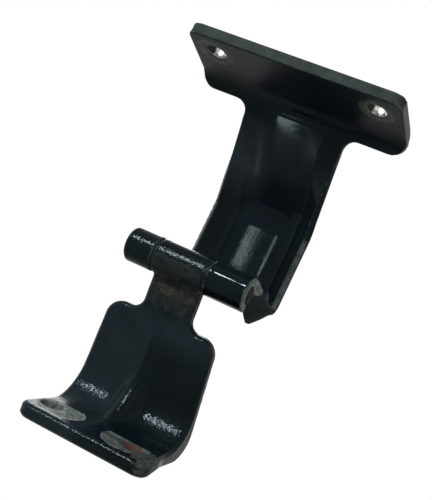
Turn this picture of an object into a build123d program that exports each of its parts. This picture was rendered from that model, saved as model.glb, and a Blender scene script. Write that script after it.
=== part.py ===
"""Car door hinge: pressed pillar leaf with a goose-neck arm, forged door leaf, headed pin and two bushes.

Shared frame: the origin lies on the mounting face of the pillar flange, halfway between its two bolt
holes. +Z is up along the pin, whose head is on top, +Y goes out of the mounting face into the pillar,
and both flanges point to +X. The pieces are drawn around the pin, with the pin on the Z axis, and moved
to that frame at the end. Millimetres.
"""
from build123d import *
from math import acos, asin, atan2, cos, degrees, hypot, radians, sin, tan
import os

os.makedirs("parts", exist_ok=True)

# Pin, and the sheet rolled over it
PIN_R = 4.0
SHEET = 4.0
BARREL_R = PIN_R + SHEET
BARREL_BOTTOM = -25.0
ROLL_TOP = -5.4
HEAD_BOTTOM = 21.4
HEAD_TOP = 35.4
HEAD_CHAMFER = 1.2
PIN_END_PROUD = 0.3
PIN_END_CHAMFER = 0.6
RUNNING_CLEARANCE = 0.05
SIDE_PLAY = 0.3

# Bushes in the door leaf eye
BUSH_WALL = 1.0
BUSH_LENGTH = 10.0
COLLAR_T = 0.7
COLLAR_INSET = 0.8
COLLAR_R = BARREL_R - COLLAR_INSET
BUSH_BORE_R = PIN_R + RUNNING_CLEARANCE
BUSH_R = BUSH_BORE_R + BUSH_WALL

# Pillar leaf: flange, root bend and lobes beside the arm
FLANGE_T = 5.4
FLANGE_IN_Y = 93.9
FLANGE_TIP_X = 25.2
FLANGE_LENGTH = 105.0
FLANGE_CORNER_R = 5.0
LOBE_CORNER_R = 7.0
LOBE_PAST_BEND = 1.5
ROOT_X = -11.7
ROOT_BEND_R = 8.0
ROOT_WEB_R = 6.0
PILLAR_HOLE_D = 10.0
PILLAR_HOLE_SPACING = 80.0
PILLAR_HOLE_X = 12.6

# Pillar leaf: dished arm, turned-up end and rolled knuckle
ARM_TOP_Z = 27.0
RIM_KNEE = (-36.5, 48.9)
RIM_END = (-42.3, 9.2)
DISH_DEPTH = 8.8
ROOT_DEPTH = 0.6
SIDE_WIDTH = 10.5
CREASE_R = 5.0
KNEE_R = 26.0
TURN_R = 11.0
LEG_LEAN = 12.0
ROLL_END_ANGLE = -115.0
NOTCH_Y = 16.5
NOTCH_Z = -15.0
NOTCH_X = -11.0
NOTCH_R = 8.0
NOTCH_SIZE = 60.0
NOTCH_REACH = 80.0
ARM_CLEAR_X = 25.0
LEG_CUT_TOP = 14.0
LEG_CUT_DEPTH = 20.0

# Door leaf
LEAF_T = 6.6
LEAF_MID_Z = 8.0
LEAF_ANGLE = 248.5
FRONT_OFFSET = 1.9
NECK_WIDTH = 24.0
SHOULDER_AT = 25.0
BODY_WIDTH = 54.0
FOOT_LOW = 30.5
FOOT_HIGH = 28.5
FOOT_TIP_LOW = 33.8
FOOT_TIP_HIGH = 31.5
FLARE_ABOVE_FOOT = 4.0
FLARE_R = 35.0
SHOULDER_R = 8.0
NECK_FILLET_R = 5.0
FOOT_AT = 72.8
FOOT_LENGTH = 41.2
FOOT_CORNER_R = 6.0
FOOT_BEND = 90.0
FOOT_BEND_R = 16.0
FOOT_BACK_R = 12.5
FOOT_STRAIGHT = 2.0
DOOR_HOLE_D = 10.0
DOOR_HOLE_SPACING = 41.0
DOOR_HOLE_SHIFT = 1.25
DOOR_HOLE_AT = 27.5
RIB_UP_LEAF = 34.0
RIB_ON_FOOT = 20.0
RIB_HALF_WIDTH = 5.5
RIB_HEIGHT = 6.4
LEAF_EDGE = 1.4

EYE_BOTTOM = ROLL_TOP + SIDE_PLAY + COLLAR_T
EYE_TOP = HEAD_BOTTOM - SIDE_PLAY - COLLAR_T


def along(start, direction, distance):
    """Point reached from start after a distance along a direction in the profile plane."""
    return (start[0] + direction[0] * distance, start[1] + direction[1] * distance)


def unit(start, end):
    """Direction from one profile point to another."""
    length = hypot(end[0] - start[0], end[1] - start[1])
    return ((end[0] - start[0]) / length, (end[1] - start[1]) / length)


def polar(angle, length=1.0):
    """Profile point at an angle in degrees around the pin."""
    return (length * cos(radians(angle)), length * sin(radians(angle)))


def meeting(p, u, q, v):
    """Point where the line through p along u meets the line through q along v."""
    cross = u[0] * v[1] - u[1] * v[0]
    return along(p, u, ((q[0] - p[0]) * v[1] - (q[1] - p[1]) * v[0]) / cross)


def turn_between(u, v):
    """Angle in degrees between two directions."""
    return degrees(acos(u[0] * v[0] + u[1] * v[1]))


def section_plane(point, up):
    """Plane across the arm: its x runs along the pin, its y to the hollow side."""
    return Plane(origin=(point[0], point[1], 0), x_dir=(0, 0, 1), z_dir=(up[0], up[1], 0))


def dish(depth, top=None):
    """Cross-section of the dished sheet: level floor and turned-up sides.

    depth is the rise of the sides; with top given, the floor stops there and has no upper side.
    """
    lean = atan2(depth, SIDE_WIDTH)
    rim_in = SHEET * sin(lean)
    rim_back = depth - SHEET * cos(lean)
    back_shift = SHEET * tan(lean / 2)
    low_floor = BARREL_BOTTOM + SIDE_WIDTH
    high_floor = ARM_TOP_Z - SIDE_WIDTH
    points = [(low_floor - back_shift, -SHEET), (BARREL_BOTTOM, rim_back),
              (BARREL_BOTTOM + rim_in, depth), (low_floor, 0)]
    if top is None:
        points += [(high_floor, 0), (ARM_TOP_Z - rim_in, depth), (ARM_TOP_Z, rim_back),
                   (high_floor + back_shift, -SHEET)]
    else:
        points += [(top, 0), (top, -SHEET)]
    creases = {low_floor, high_floor}
    with BuildSketch(Plane.XY) as section:
        with BuildLine():
            Polyline(*points, close=True)
        make_face()
        fillet(section.vertices().filter_by(
            lambda v: abs(v.Y) < 1e-4 and any(abs(v.X - c) < 1e-4 for c in creases)), CREASE_R)
        backs = {low_floor - back_shift, high_floor + back_shift}
        fillet(section.vertices().filter_by(
            lambda v: abs(v.Y + SHEET) < 1e-4 and any(abs(v.X - c) < 1e-4 for c in backs)), CREASE_R + SHEET)
    return section.sketch


# Lines of the pillar leaf in the profile plane; the floor lies a dish depth behind the rims
arm_up = unit(RIM_END, RIM_KNEE)
arm_in = (arm_up[1], -arm_up[0])
root_corner = (ROOT_X, FLANGE_IN_Y)
upper_up = unit(RIM_KNEE, root_corner)
upper_in = (upper_up[1], -upper_up[0])
root_reach = ROOT_BEND_R * tan(radians(turn_between(upper_up, (1, 0)) / 2))
root_end = along(root_corner, upper_up, -root_reach)
root_stop = along(root_end, upper_up, -LOBE_PAST_BEND)
floor_end = along(RIM_END, arm_in, -DISH_DEPTH)
floor_knee = along(RIM_KNEE, arm_in, -DISH_DEPTH)
floor_up = unit(floor_knee, root_end)

# Knee between the upper and the lower arm
knee_angle = turn_between(floor_up, arm_up)
knee_reach = KNEE_R * tan(radians(knee_angle / 2))
knee_top = along(floor_knee, floor_up, knee_reach)
knee_foot = along(floor_knee, arm_up, -knee_reach)
knee_axis = along(knee_foot, arm_in, KNEE_R)

# Turn from the lower arm into the leg that carries the knuckle
leg_out = polar(LEG_LEAN)
leg_in = (-leg_out[1], leg_out[0])
leg_back = (-leg_out[0], -leg_out[1])
leg_start = along((0, 0), leg_in, BARREL_R)
turn_corner = meeting(floor_end, arm_up, leg_start, leg_out)
turn_angle = 180 - turn_between(arm_up, leg_out)
turn_reach = TURN_R * tan(radians(turn_angle / 2))
turn_top = along(turn_corner, arm_up, turn_reach)
turn_foot = along(turn_corner, leg_out, turn_reach)
turn_axis = along(turn_top, arm_in, TURN_R)

with BuildPart() as pillar_leaf:
    # Flange, root bend and lobes
    flange_back = FLANGE_IN_Y + FLANGE_T
    back_stop = along(root_stop, upper_in, -SHEET)
    back_corner = meeting(back_stop, upper_up, (0, flange_back), (1, 0))
    with BuildSketch(Plane.XY.offset(-FLANGE_LENGTH / 2)):
        with BuildLine():
            Polyline((FLANGE_TIP_X, FLANGE_IN_Y), root_corner, root_stop, back_stop, back_corner,
                     (FLANGE_TIP_X, flange_back), close=True)
        make_face()
    extrude(amount=FLANGE_LENGTH)
    for corner, radius in ((root_corner, ROOT_BEND_R), (back_corner, ROOT_BEND_R + FLANGE_T)):
        along_pin = pillar_leaf.edges().filter_by(Axis.Z)
        fillet(along_pin.sort_by_distance((corner[0], corner[1], 0))[0], radius)
    fillet(pillar_leaf.edges().filter_by(Axis.Y).group_by(Axis.X)[-1], FLANGE_CORNER_R)
    lobe_middle = ((root_stop[0] + back_stop[0]) / 2, back_stop[1], 0)
    lobe_face = pillar_leaf.faces().sort_by_distance(lobe_middle)[0]
    fillet(lobe_face.edges().group_by(SortBy.LENGTH)[0], LOBE_CORNER_R)

    # Dished arm: root to knee, knee, knee to turn
    with BuildSketch(section_plane(root_end, floor_up)):
        add(dish(ROOT_DEPTH))
    with BuildSketch(section_plane(knee_top, floor_up)):
        add(dish(DISH_DEPTH))
    loft()
    with BuildSketch(section_plane(knee_foot, arm_up)):
        add(dish(DISH_DEPTH))
    revolve(axis=Axis((knee_axis[0], knee_axis[1], 0), (0, 0, -1)), revolution_arc=knee_angle)
    with BuildSketch(section_plane(turn_top, arm_up)):
        add(dish(DISH_DEPTH))
    extrude(amount=hypot(knee_foot[0] - turn_top[0], knee_foot[1] - turn_top[1]))

    # Webs between the arm and the lobes
    web_middle = along(root_stop, upper_in, -SHEET / 2)
    for height in (BARREL_BOTTOM, ARM_TOP_Z):
        corner = (web_middle[0], web_middle[1], height)
        fillet(pillar_leaf.edges().sort_by_distance(corner)[0], ROOT_WEB_R)

    # The lower part turns up towards the pin and flattens
    with BuildSketch(section_plane(turn_top, arm_up)):
        add(dish(DISH_DEPTH, ROLL_TOP))
    revolve(axis=Axis((turn_axis[0], turn_axis[1], 0), (0, 0, 1)), revolution_arc=turn_angle)
    with BuildSketch(section_plane(turn_foot, leg_back)):
        add(dish(DISH_DEPTH, ROLL_TOP))
    with BuildSketch(section_plane(leg_start, leg_back)):
        add(dish(ROOT_DEPTH, ROLL_TOP))
    loft()

    # The end of the leg is rolled over the pin
    roll_start = 90 + LEG_LEAN
    roll_turn = roll_start - ROLL_END_ANGLE
    with BuildSketch(Plane.XY.offset(BARREL_BOTTOM)):
        with BuildLine():
            CenterArc((0, 0), BARREL_R, ROLL_END_ANGLE, roll_turn)
            CenterArc((0, 0), PIN_R, ROLL_END_ANGLE, roll_turn)
            Line(polar(ROLL_END_ANGLE, PIN_R), polar(ROLL_END_ANGLE, BARREL_R))
            Line(polar(roll_start, PIN_R), polar(roll_start, BARREL_R))
        make_face()
    extrude(amount=ROLL_TOP - BARREL_BOTTOM)

    # Notch that clears the door leaf: the upper part of the arm stops short, the leg is narrow at the knuckle
    with BuildSketch(Plane.YZ.offset(-NOTCH_REACH)):
        with Locations((NOTCH_Y - NOTCH_SIZE / 2, NOTCH_Z + NOTCH_SIZE / 2)):
            RectangleRounded(NOTCH_SIZE, NOTCH_SIZE, NOTCH_R)
    extrude(amount=NOTCH_REACH - ARM_CLEAR_X, mode=Mode.SUBTRACT)
    with BuildSketch(Plane.XZ.offset(-LEG_CUT_TOP)):
        with Locations((NOTCH_X - NOTCH_SIZE / 2, NOTCH_Z + NOTCH_SIZE / 2)):
            RectangleRounded(NOTCH_SIZE, NOTCH_SIZE, NOTCH_R)
    extrude(amount=LEG_CUT_TOP + LEG_CUT_DEPTH, mode=Mode.SUBTRACT)

    # Bolt holes
    with BuildSketch(Plane.XZ.offset(-flange_back - 1)):
        with Locations((PILLAR_HOLE_X, -PILLAR_HOLE_SPACING / 2),
                       (PILLAR_HOLE_X, PILLAR_HOLE_SPACING / 2)):
            Circle(PILLAR_HOLE_D / 2)
    extrude(amount=FLANGE_T + 2, mode=Mode.SUBTRACT)

# Lines of the door leaf in the profile plane
leaf_down = polar(LEAF_ANGLE)
leaf_front = (-leaf_down[1], leaf_down[0])
front_start = along((0, 0), leaf_front, FRONT_OFFSET)
back_start = along(front_start, leaf_front, -LEAF_T)
foot_corner = along(front_start, leaf_down, FOOT_AT)
foot_out = polar(LEAF_ANGLE + FOOT_BEND)
foot_up = (-foot_out[1], foot_out[0])
bend_reach = FOOT_BEND_R * tan(radians(FOOT_BEND / 2))
foot_start = along(foot_corner, foot_out, bend_reach + FOOT_STRAIGHT)
foot_back = along(foot_start, foot_up, -LEAF_T)
foot_back_corner = meeting(back_start, leaf_down, foot_back, foot_out)
flare_end = foot_start[0] * leaf_down[0] + foot_start[1] * leaf_down[1] - FLARE_ABOVE_FOOT
shoulder = (BODY_WIDTH - NECK_WIDTH) / 2
plate_low = max(FOOT_LOW, BODY_WIDTH / 2)
plate_high = max(FOOT_HIGH, BODY_WIDTH / 2)
shoulder_r = min(SHOULDER_R, 0.6 * shoulder)
neck_r = min(NECK_FILLET_R, 0.35 * shoulder)
leaf_view = Plane(origin=(0, 0, LEAF_MID_Z), x_dir=(0, 0, 1), z_dir=(leaf_front[0], leaf_front[1], 0))
foot_view = Plane(origin=(foot_start[0], foot_start[1], LEAF_MID_Z), x_dir=(0, 0, 1),
                  z_dir=(foot_up[0], foot_up[1], 0))
outline_end = FOOT_AT + FOOT_LENGTH


def faces_along(face, out, out_foot):
    """True for the faces of one side of the door leaf plate, without the tip of the foot."""
    middle = face.center()
    normal = face.normal_at(middle)
    reach = max(normal.X * d[0] + normal.Y * d[1] for d in (out, out_foot))
    outward = (middle.X - foot_corner[0]) * foot_out[0] + (middle.Y - foot_corner[1]) * foot_out[1]
    at_tip = outward > FOOT_LENGTH - 1
    return reach > 0.6 and abs(normal.Z) < 0.01 and face.area > 400 and not at_tip


def rim(skin):
    """Outer edges of a run of neighbouring faces, without the end at the pin."""
    edges = [e for face in skin for e in face.edges()]
    single = [e for e in edges if sum(e.is_same(other) for other in edges) == 1]
    return [e for e in single if hypot(e.center().X, e.center().Y) > BARREL_R]


with BuildPart() as door_leaf:
    # Neck, body and bend
    with BuildSketch(Plane.XY.offset(LEAF_MID_Z - plate_low)):
        with BuildLine():
            Polyline(front_start, foot_corner, foot_start, foot_back, foot_back_corner, back_start,
                     close=True)
        make_face()
    extrude(amount=plate_low + plate_high)
    for corner, radius in ((foot_corner, FOOT_BEND_R), (foot_back_corner, FOOT_BACK_R)):
        along_pin = door_leaf.edges().filter_by(Axis.Z)
        fillet(along_pin.sort_by_distance((corner[0], corner[1], LEAF_MID_Z))[0], radius)
    with BuildSketch(leaf_view) as outline:
        with BuildLine():
            Polyline((-NECK_WIDTH / 2, 0), (-NECK_WIDTH / 2, SHOULDER_AT), (-BODY_WIDTH / 2, SHOULDER_AT),
                     (-FOOT_LOW, flare_end), (-FOOT_LOW, outline_end), (FOOT_HIGH, outline_end),
                     (FOOT_HIGH, flare_end), (BODY_WIDTH / 2, SHOULDER_AT), (NECK_WIDTH / 2, SHOULDER_AT),
                     (NECK_WIDTH / 2, 0), close=True)
        make_face()
        shoulder_line = outline.vertices().group_by(Axis.Y)[1].sort_by(Axis.X)
        fillet(shoulder_line[1:3], neck_r)
        shoulder_line = outline.vertices().filter_by(
            lambda v: abs(v.Y - SHOULDER_AT) < 1e-4 and abs(abs(v.X) - BODY_WIDTH / 2) < 1e-4)
        fillet(shoulder_line, shoulder_r)
        fillet(outline.vertices().filter_by(lambda v: abs(v.Y - flare_end) < 1e-4), FLARE_R)
    extrude(amount=outline_end, both=True, mode=Mode.INTERSECT)

    # Foot, a little wider at its tip
    foot_straight = FOOT_LENGTH - bend_reach - FOOT_STRAIGHT
    hole_at = DOOR_HOLE_AT - bend_reach - FOOT_STRAIGHT
    with BuildSketch(foot_view) as foot:
        with BuildLine():
            Polyline((-FOOT_LOW, 0), (-FOOT_TIP_LOW, foot_straight), (FOOT_TIP_HIGH, foot_straight),
                     (FOOT_HIGH, 0), close=True)
        make_face()
        fillet(foot.vertices().group_by(Axis.Y)[-1], FOOT_CORNER_R)
    extrude(amount=-LEAF_T)

    # Edges broken all round, except at the eye
    leaf_rear = (-leaf_front[0], -leaf_front[1])
    foot_down = (-foot_up[0], -foot_up[1])
    for out, out_foot in ((leaf_front, foot_up), (leaf_rear, foot_down)):
        skin = door_leaf.faces().filter_by(lambda f: faces_along(f, out, out_foot))
        chamfer(rim(skin), LEAF_EDGE)

    # Rounded rib across the bend: its crest leaves the leaf smoothly and runs into the foot
    rib_top = along(foot_corner, leaf_down, -RIB_UP_LEAF)
    rib_end = along(foot_corner, foot_out, RIB_ON_FOOT)
    chord = (rib_end[0] - rib_top[0], rib_end[1] - rib_top[1])
    span = hypot(chord[0], chord[1])
    crest_r = span ** 2 / (2 * (chord[0] * leaf_front[0] + chord[1] * leaf_front[1]))
    crest_turn = degrees(2 * asin(span / (2 * crest_r)))
    rib_root = along(rib_top, leaf_front, -RIB_HEIGHT)
    rib_axis = along(rib_top, leaf_front, crest_r)
    rib_section = Plane(origin=(rib_root[0], rib_root[1], LEAF_MID_Z), x_dir=(0, 0, 1),
                        z_dir=(-leaf_down[0], -leaf_down[1], 0))
    with BuildSketch(rib_section):
        Ellipse(RIB_HALF_WIDTH, RIB_HEIGHT)
        Rectangle(2 * RIB_HALF_WIDTH, RIB_HEIGHT, align=(Align.CENTER, Align.MAX), mode=Mode.SUBTRACT)
    revolve(axis=Axis((rib_axis[0], rib_axis[1], 0), (0, 0, 1)), revolution_arc=crest_turn)

    # Bolt holes
    with BuildSketch(foot_view):
        with Locations((DOOR_HOLE_SHIFT - DOOR_HOLE_SPACING / 2, hole_at),
                       (DOOR_HOLE_SHIFT + DOOR_HOLE_SPACING / 2, hole_at)):
            Circle(DOOR_HOLE_D / 2)
    extrude(amount=-LEAF_T - 1, mode=Mode.SUBTRACT)

    # Eye for the pin
    with BuildSketch(Plane.XY.offset(EYE_BOTTOM)):
        Circle(BARREL_R)
    extrude(amount=EYE_TOP - EYE_BOTTOM)
    with BuildSketch(Plane.XY.offset(EYE_BOTTOM)):
        Circle(BUSH_R)
    extrude(amount=EYE_TOP - EYE_BOTTOM, mode=Mode.SUBTRACT)

with BuildPart() as hinge_pin:
    with BuildSketch(Plane.XY.offset(BARREL_BOTTOM - PIN_END_PROUD)):
        Circle(PIN_R)
    extrude(amount=HEAD_BOTTOM - BARREL_BOTTOM + PIN_END_PROUD)
    with BuildSketch(Plane.XY.offset(HEAD_BOTTOM)):
        Circle(BARREL_R)
    extrude(amount=HEAD_TOP - HEAD_BOTTOM)
    chamfer(hinge_pin.edges().group_by(Axis.Z)[-1], HEAD_CHAMFER)
    chamfer(hinge_pin.edges().group_by(Axis.Z)[0], PIN_END_CHAMFER)


def bush(face, inward):
    """Collared bush with its collar on the eye face at height face; inward is +1 or -1 along the pin."""
    with BuildPart() as sleeve:
        with BuildSketch(Plane.XY.offset(face)):
            Circle(BUSH_R)
        extrude(amount=inward * BUSH_LENGTH)
        with BuildSketch(Plane.XY.offset(face)):
            Circle(COLLAR_R)
        extrude(amount=-inward * COLLAR_T)
        with BuildSketch(Plane.XY.offset(face - inward * COLLAR_T)):
            Circle(BUSH_BORE_R)
        extrude(amount=inward * (BUSH_LENGTH + COLLAR_T), mode=Mode.SUBTRACT)
    return sleeve


bush_upper = bush(EYE_TOP, -1)
bush_lower = bush(EYE_BOTTOM, 1)

# The pieces are drawn around the pin and leave in the frame of the pillar bolt holes
to_pillar = Location((-PILLAR_HOLE_X, -flange_back, 0))

for piece, name in ((pillar_leaf, "pillar_leaf"), (door_leaf, "door_leaf"), (hinge_pin, "hinge_pin"),
                    (bush_upper, "bush_upper"), (bush_lower, "bush_lower")):
    placed = piece.part.moved(to_pillar)
    placed.label = name
    export_step(placed, f"parts/{name}.step")
    print(name, round(placed.volume), len(placed.solids()), placed.is_valid)
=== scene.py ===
"""Looks of a painted car door hinge, dressed over its solids in the shared frame.

The origin is on the pillar flange between its bolt holes, +Z runs up the pin,
+Y out of the mounting face and +X to the side both flanges point to.
Lengths are in metres.
"""

import logging
from dataclasses import dataclass
from enum import Enum

import bmesh
import bpy
import numpy as np
from mathutils import Matrix, Vector
from mathutils.bvhtree import BVHTree
from mathutils.kdtree import KDTree


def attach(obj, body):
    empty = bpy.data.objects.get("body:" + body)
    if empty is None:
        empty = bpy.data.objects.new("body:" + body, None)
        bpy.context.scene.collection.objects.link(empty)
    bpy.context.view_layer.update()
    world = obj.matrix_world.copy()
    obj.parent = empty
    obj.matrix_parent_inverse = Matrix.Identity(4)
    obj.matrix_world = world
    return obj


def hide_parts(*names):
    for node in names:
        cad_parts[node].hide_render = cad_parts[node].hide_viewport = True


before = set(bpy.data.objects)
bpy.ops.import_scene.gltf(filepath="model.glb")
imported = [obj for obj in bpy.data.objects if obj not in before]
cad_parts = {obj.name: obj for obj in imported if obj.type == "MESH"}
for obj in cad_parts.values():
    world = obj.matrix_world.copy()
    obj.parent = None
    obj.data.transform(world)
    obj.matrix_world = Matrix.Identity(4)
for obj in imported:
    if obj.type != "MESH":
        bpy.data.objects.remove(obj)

log = logging.getLogger("car_door_hinge")

Socket = bpy.types.NodeSocket
Node = bpy.types.Node
Tree = bpy.types.NodeTree
Material = bpy.types.Material
Piece = bpy.types.Object
Mesh = bpy.types.Mesh
Triple = tuple[float, float, float]
Span = tuple[float, float]

MM = 0.001
PIN_X = -12.6 * MM
PIN_Y = -99.3 * MM
UP: Triple = (0.0, 0.0, 1.0)
DOWN: Triple = (0.0, 0.0, -1.0)
TO_PILLAR: Triple = (0.0, 1.0, 0.0)
FROM_PILLAR: Triple = (0.0, -1.0, 0.0)
ARM_FRONT: Triple = (0.79, -0.62, 0.0)
LEAF_FRONT: Triple = (0.930418, -0.366501, 0.0)
DOOR_BOLT: Triple = (0.366501, 0.930418, 0.0)


class Body(Enum):
    """The two halves that turn against each other."""

    PILLAR = "pillar_side"
    DOOR = "door_side"


class Blend(Enum):
    """Ways of joining two numbers in a shader."""

    TIMES = "MULTIPLY"
    PLUS = "ADD"
    MINUS = "SUBTRACT"
    MOST = "MAXIMUM"
    SIZE = "ABSOLUTE"


@dataclass(frozen=True)
class Cloud:
    """A cloudy pattern, and the part of it that is stretched over 0 to 1."""

    scale: float
    detail: float = 3.0
    rough: float = 0.55
    low: float = 0.35
    high: float = 0.65


@dataclass(frozen=True)
class Film:
    """A thin layer over the paint, in one colour or in clouds of two."""

    rough: float
    colour: Triple
    pale: Triple | None = None
    scale: float = 300.0
    metal: float = 0.0


class Graph:
    """A shader node tree that is written a node at a time."""

    def __init__(self, tree: Tree) -> None:
        """Keep the tree of a material, a world or a group."""
        self.tree = tree

    def node(self, kind: str, **settings: object) -> Node:
        """Add one node.

        Args:
            kind: Node type without its "ShaderNode" start.
            settings: Properties of the node itself.

        Returns:
            The new node.
        """
        made = self.tree.nodes.new("ShaderNode" + kind)
        for key, value in settings.items():
            setattr(made, key, value)
        return made

    def feed(self, socket: Socket, value: object) -> None:
        """Link a socket to another one, or write a constant on it.

        Args:
            socket: The input that is fed.
            value: An output socket, or a constant.
        """
        if isinstance(value, Socket):
            self.tree.links.new(value, socket)
        else:
            socket.default_value = value

    def fill(self, node: Node, **inputs: object) -> Node:
        """Feed several inputs of a node.

        Args:
            node: The node.
            inputs: Values or sockets by input name, with _ for a space.

        Returns:
            The same node.
        """
        for key, value in inputs.items():
            self.feed(node.inputs[key.replace("_", " ")], value)
        return node

    def number(self, how: Blend, a: object, b: object = 0.0) -> Socket:
        """Join two numbers.

        Args:
            how: The way they are joined.
            a: First number or socket.
            b: Second number or socket.

        Returns:
            The socket with the result.
        """
        made = self.node("Math", operation=how.value)
        self.feed(made.inputs[0], a)
        self.feed(made.inputs[1], b)
        return made.outputs[0]

    def vector(self, operation: str, a: object, b: object) -> Node:
        """Join two vectors.

        Args:
            operation: Name of the vector operation.
            a: First vector or socket.
            b: Second vector, number or socket.

        Returns:
            The node, whose outputs are a vector and a number.
        """
        made = self.node("VectorMath", operation=operation)
        self.feed(made.inputs[0], a)
        self.feed(made.inputs["Scale" if operation == "SCALE" else 1], b)
        return made

    def ramp(self, value: object, low: object, high: object) -> Socket:
        """Turn a number into a smooth 0 to 1 step.

        Args:
            value: The number.
            low: Where the step starts.
            high: Where the step has reached 1.

        Returns:
            The socket with the step.
        """
        made = self.node("MapRange", interpolation_type="SMOOTHSTEP")
        self.fill(made, Value=value, From_Min=low, From_Max=high)
        return made.outputs["Result"]

    def times(self, first: object, *others: object) -> Socket:
        """Multiply masks.

        Args:
            first: First socket.
            others: The sockets it is multiplied with.

        Returns:
            The socket with the product.
        """
        for other in others:
            first = self.number(Blend.TIMES, first, other)
        return first

    def noise(self, place: object, cloud: Cloud) -> Socket:
        """Add a cloudy pattern.

        Args:
            place: Socket with the coordinates.
            cloud: The pattern, in patches per metre.

        Returns:
            The socket with the pattern as it is.
        """
        made = self.node("TexNoise")
        self.fill(made, Vector=place, Scale=cloud.scale)
        self.fill(made, Detail=cloud.detail, Roughness=cloud.rough)
        return made.outputs["Fac"]

    def cloud(self, place: object, cloud: Cloud) -> Socket:
        """Return a cloudy pattern stretched over 0 to 1."""
        return self.ramp(self.noise(place, cloud), cloud.low, cloud.high)

    def colour(self, share: object, a: object, b: object) -> Socket:
        """Mix two colours.

        Args:
            share: Share of the second colour.
            a: First colour or socket.
            b: Second colour or socket.

        Returns:
            The socket with the mixed colour.
        """
        made = self.node("Mix", data_type="RGBA")
        self.feed(made.inputs[0], share)
        self.feed(made.inputs[6], a)
        self.feed(made.inputs[7], b)
        return made.outputs[2]

    def level(self, share: object, a: object, b: object) -> Socket:
        """Mix two numbers.

        Args:
            share: Share of the second number.
            a: First number or socket.
            b: Second number or socket.

        Returns:
            The socket with the mixed number.
        """
        made = self.node("Mix", data_type="FLOAT")
        self.feed(made.inputs[0], share)
        self.feed(made.inputs[2], a)
        self.feed(made.inputs[3], b)
        return made.outputs[0]

    def group(self, shared: Tree, **inputs: object) -> Node:
        """Return the node of a shared effect, with its inputs fed."""
        return self.fill(self.node("Group", node_tree=shared), **inputs)


def rgba(colour: Triple) -> tuple[float, float, float, float]:
    """Return a colour with full cover."""
    return (*colour, 1.0)


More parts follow.
